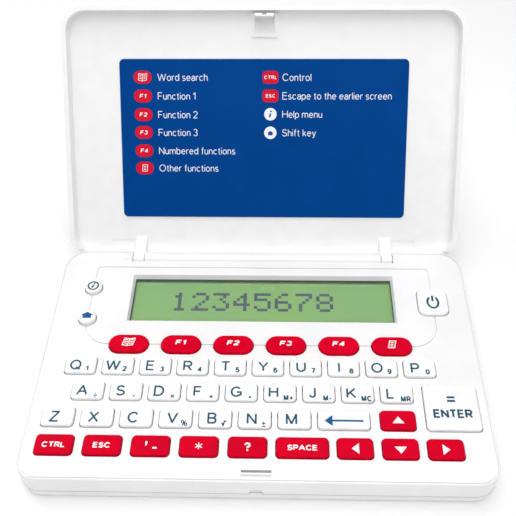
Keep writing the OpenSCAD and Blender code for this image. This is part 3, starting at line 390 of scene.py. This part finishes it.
def flat_print(*outlines):
    """Printed shapes as thin solids; each outline is a list of points."""
    shape = bmesh.new()
    for outline in outlines:
        shape.faces.new([shape.verts.new((x, y, 0)) for x, y in outline])
    return thin_print(shape)


def bar(x0, y0, x1, y1):
    """Outline of an upright rectangle, from its low corner to its high one."""
    return [(x0, y0), (x1, y0), (x1, y1), (x0, y1)]


def joined(prints):
    """One mesh of several, each given with the place of its middle."""
    shape = bmesh.new()
    for mesh, x, y in prints:
        mesh.transform(Matrix.Translation((x * MM, y * MM, 0)))
        shape.from_mesh(mesh)
    return finished_mesh(shape, "print")


def print_on_key(node, prints, ink):
    """Puts legends on the top of a key; their places are from the middle of its top."""
    low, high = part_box(node)
    mesh = joined(prints)
    mesh.transform(Matrix.Translation(((low.x + high.x) / 2, (low.y + high.y) / 2, high.z)))
    new_piece(node + "_legend", mesh, ink, node + "_cap")


teal_ink = printing_ink("teal_pad_print", "#225467")
blue_ink = printing_ink("blue_pad_print", "#0A588E")
white_ink = printing_ink("white_pad_print", "#FFFFFF")

letter_h, letter_line, letter_y = 3.7, 0.56, -0.25
sign_h, sign_line = 1.9, 0.42
lines_of_fine_signs = {".": 0.65, "%": 0.3, "÷": 0.34, "x": 0.34, "+": 0.34, "±": 0.3}
legend_rows = [
    # letters, their second signs, the letters' x, the second signs' x and y
    ("QWERTYUIOP", "1234567890", -1.4, 2.25, -1.55),
    ("ASDFG", "÷-x+.", -1.5, 2.6, -1.9),
    ("HJKL", ["M+", "M-", "MC", "MR"], -1.9, 2.5, -2.1),
    ("ZXCVBNM", ["", "", "", "%", "√", "±", ""], -0.85, 2.6, -1.95),
]
for letters, second_signs, letter_x, sign_x, sign_y in legend_rows:
    for letter, sign in zip(letters, second_signs):
        legends = [(lettering(letter, letter_h, letter_line), letter_x, letter_y)]
        if sign:
            line = lines_of_fine_signs.get(sign, sign_line)
            wide, spread = (0.8, 0.12) if len(sign) > 1 else (1.0, 0)
            legends.append((lettering(sign, sign_h, line, wide=wide, spread=spread), sign_x, sign_y))
        print_on_key("key_" + letter.lower(), legends, teal_ink)

arrow_half_len, arrow_head, arrow_half_h, shaft_half_h, arrow_y = 5.55, 2.26, 1.83, 0.3, -0.55
head_end = arrow_head - arrow_half_len
arrow = flat_print([(-arrow_half_len, 0), (head_end, -arrow_half_h), (head_end, arrow_half_h)],
                   bar(head_end, -shaft_half_h, arrow_half_len, shaft_half_h))
print_on_key("key_backspace", [(arrow, 0, arrow_y)], blue_ink)

bar_half_w, bar_low, bar_high, bars_y, enter_y = 1.15, 0.27, 0.97, 2.6, -2.35
two_bars = flat_print(bar(-bar_half_w, bar_low, bar_half_w, bar_high),
                      bar(-bar_half_w, -bar_high, bar_half_w, -bar_low))
enter_word = lettering("ENTER", height=2.95, line=0.62, wide=0.95, spread=0.04)
print_on_key("key_enter", [(two_bars, 0, bars_y), (enter_word, 0, enter_y)], teal_ink)

word_y = -0.25
for node, word in {"key_ctrl": "CTRL", "key_escape": "ESC", "key_space": "SPACE"}.items():
    printed_word = lettering(word, height=1.75, line=0.37, wide=1.18, spread=0.1)
    print_on_key(node, [(printed_word, 0, word_y)], white_ink)

apostrophe = flat_print([(-0.2, -0.75), (0.15, -0.4), (0.32, 0.75), (-0.32, 0.75)])
dash = flat_print(bar(-0.6, -0.26, 0.6, 0.26))
asterisk, question = lettering("*", 4.5, 0.27), lettering("?", 2.6, 0.5, wide=1.15)
print_on_key("key_apostrophe", [(apostrophe, -1.1, 0.35), (dash, 1.35, -0.95)], white_ink)
print_on_key("key_asterisk", [(asterisk, 0, -1.2)], white_ink)
print_on_key("key_question", [(question, 0, -0.2)], white_ink)

# The triangles are drawn pointing up, or to the right, and turned over for the other two keys.
upright = [(-1.7, -1.1), (1.7, -1.1), (0, 1.1)]
sideways = [(-1.0, -1.65), (1.05, 0), (-1.0, 1.65)]
for node, triangle, way, y in (("key_up", upright, 1, -0.05), ("key_down", upright, -1, -0.65),
                               ("key_right", sideways, 1, -0.3), ("key_left", sideways, -1, -0.3)):
    print_on_key(node, [(flat_print(scaled(triangle, way, way)), 0, y)], white_ink)


# Function buttons: the same ink in italic figures, and two small pictures, an open book on the
# first button and a page of notes on the last.
def line_picture(strokes, line, slant=0.0):
    """A small picture drawn with lines of one width, leaning to the right."""
    shape = bmesh.new()
    for i, stroke in enumerate(strokes):
        draw_stroke(shape, [(x + slant * y, y) for x, y in stroke], line, stroke_step * i)
    return thin_print(shape)


page = [(0, -1.45), (1.6, -1.15), (1.6, 1.45), (0, 1.15), (0, -1.45)]
page_lines = [[(0.35, y), (1.25, y + 0.15)] for y in (-0.6, 0.05, 0.7)]
book = [scaled(stroke, side, 1) for side in (1, -1) for stroke in [page] + page_lines]
notes = [[(-0.9, -1.3), (1.0, -1.3), (1.0, 1.3), (-0.9, 1.3), (-0.9, -1.3)]]
notes += [[(-0.45, y), (0.5, y)] for y in (-0.65, 0, 0.65)]
pictures = {1: book, 6: notes}
italic_slant, picture_line, print_y = 0.22, 0.3, 0.35
for i in range(1, 7):
    if i in pictures:
        sign = line_picture(pictures[i], picture_line, italic_slant)
    else:
        sign = lettering("F%d" % (i - 1), height=1.9, line=0.43, slant=italic_slant, wide=1.5, spread=0.2)
    print_on_key("function_key_%d" % i, [(sign, 0, print_y)], white_ink)

# Round and power buttons: white caps, with a ringed i, an upward arrow and a power sign. The
# power sign is a ring that is open at the top, where a short line stands in its gap.
info_ring = flat_print(arc(1.9, 0, 359.9, 40) + arc(1.38, 359.9, 0, 40))
info_sign = line_picture([[(-0.1, -0.95), (0, 0.3)], [(0.0, 0.85), (0.02, 0.9)]], 0.55, 0.3)
print_on_key("info_button", [(info_ring, 0, 0), (info_sign, 0, 0)], teal_ink)
house = [(-2.1, -0.1), (0, 1.25), (2.1, -0.1), (1.35, -0.1), (1.35, -1.25), (-1.35, -1.25), (-1.35, -0.1)]
print_on_key("shift_button", [(flat_print(house), 0, 0.45)], blue_ink)
power_rx, power_ry, power_line, power_y = 1.72, 2.35, 0.68, -0.4
power_ring = line_picture([oval(0, 0, power_rx, power_ry, 125, 415, 32)], power_line)
power_bar = line_picture([[(0, 0.4), (0, 2.7)]], power_line)
print_on_key("power_button", [(power_ring, 0, power_y), (power_bar, 0, power_y)], teal_ink)


# Display: a reflective liquid crystal under a clear acrylic lens. The polariser is satin, and its
# green drifts a little from cool to warm. The figures are grey-blue dots of crystal, seven rows
# by five columns each, whose pitch is just over a millimetre, so near that they read as strokes.
def colour_drift(material, shader, hex_colour, other_hex, drift_mm, detail=1.0):
    """Lets a material's colour wander between two tones over a given distance."""
    place = add_node(material, "ShaderNodeTexCoord").outputs["Object"]
    drift = add_node(material, "ShaderNodeTexNoise", {
        "Vector": place, "Scale": 1 / (drift_mm * MM), "Detail": detail})
    tint = add_node(material, "ShaderNodeMix", {
        "Factor": drift.outputs["Fac"],
        "A": linear_rgb(hex_colour), "B": linear_rgb(other_hex)}, data_type="RGBA")
    material.node_tree.links.new(tint.outputs["Result"], shader.inputs["Base Color"])


lcd_green, lcd_shader = new_material("green_lcd_polariser", "#A6DA8C", 0.35)
colour_drift(lcd_green, lcd_shader, "#9AD691", "#ABDC80", 22)
dress(["lcd_module"], lcd_green)

# The lens is polished and clear, with faint smears where fingers touch it.
acrylic, acrylic_shader = new_material("clear_acrylic", "#FFFFFF", 0.02, IOR=1.49, Transmission_Weight=1.0)
place = add_node(acrylic, "ShaderNodeTexCoord").outputs["Object"]
uneven_gloss(acrylic, acrylic_shader, place, 9, 0.01, 0.035, detail=3.0)
dress(["lcd_window"], acrylic)

# A dark line on the lens runs along the rear and the ends of the display. It is painted shade: it stands for the
# shade of the opening's deep edge there.
view_x0, view_x1, view_y0, view_y1 = -42.25, 42.85, 13.25, 31.55
rear_line, left_line, right_line, print_rise = 0.75, 0.4, 0.3, 0.02
painted_display_shade = flat_print(
    bar(view_x0, view_y1 - rear_line, view_x1, view_y1),
    bar(view_x0, view_y0, view_x0 + left_line, view_y1 - rear_line),
    bar(view_x1 - right_line, view_y0, view_x1, view_y1 - rear_line),
)
lens_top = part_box("lcd_window")[1].z
painted_display_shade.transform(Matrix.Translation((0, 0, lens_top + print_rise * MM)))
display_shade_ink = printing_ink("painted_lens_edge_shade", "#3F4F45")
new_piece("painted_display_shade", painted_display_shade, display_shade_ink, "base")

digit_rows = {
    "1": "00100 01100 00100 00100 00100 00100 01110", "2": "01110 10001 00001 00010 00100 01000 11111",
    "3": "11111 00010 00100 00010 00001 10001 01110", "4": "00010 00110 01010 10010 11111 00010 00010",
    "5": "11111 10000 11110 00001 00001 10001 01110", "6": "00110 01000 10000 11110 10001 10001 01110",
    "7": "11111 00001 00010 00100 01000 01000 01000", "8": "01110 10001 10001 01110 10001 10001 01110",
}
dot_pitch, dot_size, dot_height, digit_pitch = 1.1, 1.08, 0.06, 6.8
middle_row, middle_column, figures_x = 3, 2, -3.0
shown = "12345678"
dot_shape = Matrix.Diagonal((dot_size * MM, dot_size * MM, dot_height * MM, 1))
dots = bmesh.new()
for i, digit in enumerate(shown):
    digit_x = (i - (len(shown) - 1) / 2) * digit_pitch
    for row, dots_on in enumerate(digit_rows[digit].split()):
        for column, on in enumerate(dots_on):
            if on == "1":
                x = digit_x + (column - middle_column) * dot_pitch
                y = (middle_row - row) * dot_pitch
                at = Matrix.Translation((x * MM, y * MM, 0))
                bmesh.ops.create_cube(dots, size=1, matrix=at @ dot_shape)
figures = finished_mesh(dots, "display_figures")
lcd_low, lcd_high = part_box("lcd_module")
figures.transform(Matrix.Translation((figures_x * MM, (lcd_low.y + lcd_high.y) / 2, lcd_high.z)))
dark_crystal, crystal_shader = new_material("lcd_crystal_dots", "#5E7080", 0.4)
colour_drift(dark_crystal, crystal_shader, "#596B7C", "#637584", 5)
new_piece("display_figures", figures, dark_crystal, "base")

# Label inside the lid: polyester film, screen-printed in deep blue with a list of the keys' uses.
# The film has next to no shine, so its blue looks even, with only a slow drift in its tone.
hinge = next(joint for joint in frame["joints"] if joint["name"] == "lid_hinge")
open_turn = math.radians(hinge["range_deg"][1])
lid_frame = Matrix.Translation(hinge["pos_m"]) @ Matrix.Rotation(-open_turn, 4, "X")
label_film, film_shader = new_material("blue_printed_film", "#064089", 0.3, Specular_IOR_Level=0.01)
colour_drift(label_film, film_shader, "#033E84", "#064894", 12, detail=2.0)
dress(["lid_label"], label_film)

label_corners = [lid_frame.inverted() @ v.co for v in frame["nodes"]["lid_label"].data.vertices]
label_face = min(corner.z for corner in label_corners)
label_place = lid_frame @ Matrix.Translation((0, 0, label_face)) @ Matrix.Rotation(math.pi, 4, "X")


def print_on_label(name, prints, ink, lift=0.0):
    """Puts prints on the label; x is from the middle of the case and y from the hinge axis."""
    mesh = joined(prints)
    mesh.transform(label_place @ Matrix.Translation((0, 0, lift * MM)))
    new_piece(name, mesh, ink, "lid")


def label_words(words, left, y):
    """A line of words that starts at a given distance from the middle of the case."""
    mesh = lettering(words, height=2.42, line=0.23, spread=0.12)
    length = max(v.co.x for v in mesh.vertices) - min(v.co.x for v in mesh.vertices)
    return mesh, left + length / 2 / MM, y


def round_bar(w, h, r):
    """Outline of a rectangle with rounded corners."""
    centres = ((w / 2 - r, h / 2 - r, 0), (r - w / 2, h / 2 - r, 90),
               (r - w / 2, r - h / 2, 180), (w / 2 - r, r - h / 2, 270))
    return [point for x, y, start in centres for point in arc(r, start, start + 90, 6, x, y)]


label_red = printing_ink("red_screen_print", "#DA062C")
label_white = printing_ink("white_screen_print", "#F4F9FF")
label_blue = printing_ink("blue_screen_print", "#0B4A97")
left_rows, right_rows = [61.2, 55.0, 48.8, 42.8, 36.6, 30.7], [61.2, 55.1, 49.0, 42.8]
left_words = ["Word search", "Function 1", "Function 2", "Function 3",
              "Numbered functions", "Other functions"]
right_words = ["Control", "Escape to the earlier screen", "Help menu", "Shift key"]
sign_left, sign_right, words_left, words_right = -40.6, 2.5, -35.6, 6.5

words = [label_words(text, words_left, y) for text, y in zip(left_words, left_rows)]
words += [label_words(text, words_right, y) for text, y in zip(right_words, right_rows)]
print_on_label("label_words", words, label_white)

tabs = [(flat_print(round_bar(6.1, 4.3, 2.1)), sign_left, y) for y in left_rows]
tabs += [(flat_print(round_bar(5.4, 4.2, 1.3)), sign_right, y) for y in right_rows[:2]]
print_on_label("label_red_tabs", tabs, label_red)
disc_radius = 2.1
discs = [(flat_print(arc(disc_radius, 0, 350, 35)), sign_right, y) for y in right_rows[2:]]
print_on_label("label_discs", discs, label_white)

# The signs on the tabs and discs are the keys' own, made smaller, and lie on the ink below them.
sign_lift, small = 0.03, 0.85
tab_signs = []
for picture, y in ((book, left_rows[0]), (notes, left_rows[5])):
    small_strokes = [scaled(stroke, small, small) for stroke in picture]
    tab_signs.append((line_picture(small_strokes, line=0.2, slant=0.1), sign_left, y))
for i in range(1, 5):
    figure = lettering("F%d" % i, height=1.4, line=0.28, slant=0.2, wide=1.3)
    tab_signs.append((figure, sign_left, left_rows[i]))
for text, y in zip(("CTRL", "ESC"), right_rows):
    word = lettering(text, height=1.15, line=0.22, slant=0.1, wide=1.1, spread=0.16)
    tab_signs.append((word, sign_right, y))
print_on_label("label_tab_signs", tab_signs, label_white, sign_lift)

disc_info = line_picture([[(-0.1, -1.0), (0, 0.3)], [(0.0, 0.95), (0.02, 1.0)]], line=0.55, slant=0.15)
disc_house = flat_print(scaled(house, 0.55, 0.6))
disc_signs = [(disc_info, sign_right, right_rows[2]), (disc_house, sign_right, right_rows[3] - 0.1)]
print_on_label("label_disc_signs", disc_signs, label_blue, sign_lift)

# Fine lines of the case, all painted shade. The joint between its halves and the rim of the finger notch are thin
# grey strips that stand for the shade in them.
# A pale grey strip just below the deck closes the front slot, and its grey stands for the shade inside the slot.
joint_z, line_h, line_proud, merge_reach = 4.3, 0.13, 0.03, 0.001
joint = bmesh.new()
joint.from_mesh(frame["nodes"]["top_housing"].data)
bmesh.ops.remove_doubles(joint, verts=joint.verts, dist=merge_reach * MM)
line_middle = (0, 0, (joint_z + line_h / 2) * MM)
bmesh.ops.bisect_plane(joint, geom=joint.verts[:] + joint.edges[:] + joint.faces[:],
                       plane_co=line_middle, plane_no=(0, 0, 1), clear_outer=True, clear_inner=True)

# The cut leaves the outlines of every wall. Only the outermost is kept, found from its right end.
outline = {max(joint.verts, key=lambda v: v.co.x)}
frontier = list(outline)
while frontier:
    for edge in frontier.pop().link_edges:
        fresh = [v for v in edge.verts if v not in outline]
        outline.update(fresh)
        frontier.extend(fresh)
inner = [v for v in joint.verts if v not in outline]
bmesh.ops.delete(joint, geom=inner, context="VERTS")
raised = bmesh.ops.extrude_edge_only(joint, edges=joint.edges[:])["geom"]
upper = [v for v in raised if isinstance(v, bmesh.types.BMVert)]
bmesh.ops.translate(joint, verts=upper, vec=(0, 0, line_h * MM))
bmesh.ops.recalc_face_normals(joint, faces=joint.faces)
bmesh.ops.solidify(joint, geom=joint.faces[:], thickness=-line_proud * MM)
bmesh.ops.recalc_face_normals(joint, faces=joint.faces)
joint_shade = printing_ink("grey_joint_shade", "#9C9D9F")
new_piece("joint_shade_line", finished_mesh(joint, "joint_shade_line"), joint_shade, "base")

notch_z, notch_radius, notch_foot, rim_line = 4.5, 1.95, 0.2, 0.16
front_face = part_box("top_housing")[0].y
notch = [(notch_radius, -notch_foot)] + arc(notch_radius, 0, 180, 20) + [(-notch_radius, -notch_foot)]
rim = line_picture([notch], rim_line)
rim.transform(Matrix.Translation((0, front_face, notch_z * MM)) @ Matrix.Rotation(math.pi / 2, 4, "X"))
new_piece("notch_rim_shade", rim, joint_shade, "base")

# The strip is a darker, duller ABS than the case. Its grey is painted shade, so it reads as a soft grey line of
# shade in the slot.
strip_place, strip_size, strip_edge = (0, -41.3, 10.75), (8.36, 0.56, 0.3), 0.05
strip = bmesh.new()
bmesh.ops.create_cube(strip, size=1, matrix=Matrix.Translation(Vector(strip_place) * MM)
                      @ Matrix.Diagonal([side * MM for side in strip_size] + [1]))
bmesh.ops.bevel(strip, geom=strip.edges[:], offset=strip_edge * MM, segments=2, affect="EDGES",
                profile=0.5, material=-1)
slot_shade_abs = moulded_plastic("pale_grey_painted_slot_shade", "#D2D2D1", "#CACACA", 0.4, IOR=1.54)
new_piece("slot_strip", finished_mesh(strip, "slot_strip"), slot_shade_abs, "base")


# Inside pieces and fasteners: drawn steel pins, nickel-plated cells, spring brass contacts,
# zinc-plated screws, a silicone key mat and a solder-masked circuit board. The metals shine in
# fine lines along X from drawing or rolling; the mat and the board are dull and a little cloudy.
def plated_metal(name, hex_colour, roughness, line_mm):
    """Metal with fine lines, each many times as long as it is wide."""
    material, shader = new_material(name, hex_colour, roughness, Metallic=1.0)
    place = add_node(material, "ShaderNodeTexCoord").outputs["Object"]
    drawn_out = add_node(material, "ShaderNodeMapping", {"Vector": place, "Scale": (0.06, 1, 1)})
    uneven_gloss(material, shader, drawn_out.outputs["Vector"], line_mm, roughness * 0.7, roughness * 1.4)
    return material


dress(["hinge_pins"], plated_metal("drawn_steel", "#B9BBC0", 0.3, 0.3))
dress(["coin_cells"], plated_metal("nickel_plated_steel", "#C9CACC", 0.25, 0.4))
dress(["battery_contacts"], plated_metal("spring_brass", "#CDB273", 0.3, 0.3))
dress(["case_screws"], plated_metal("zinc_plated_steel", "#B4B8BE", 0.35, 0.2))
dress(["keypad_mat"], moulded_plastic("grey_silicone_rubber", "#66686B", "#5C5E61", 0.6, cloud_mm=10.0))
dress(["main_pcb"], moulded_plastic("green_solder_mask", "#1D5A33", "#174C2A", 0.35, cloud_mm=4.0))
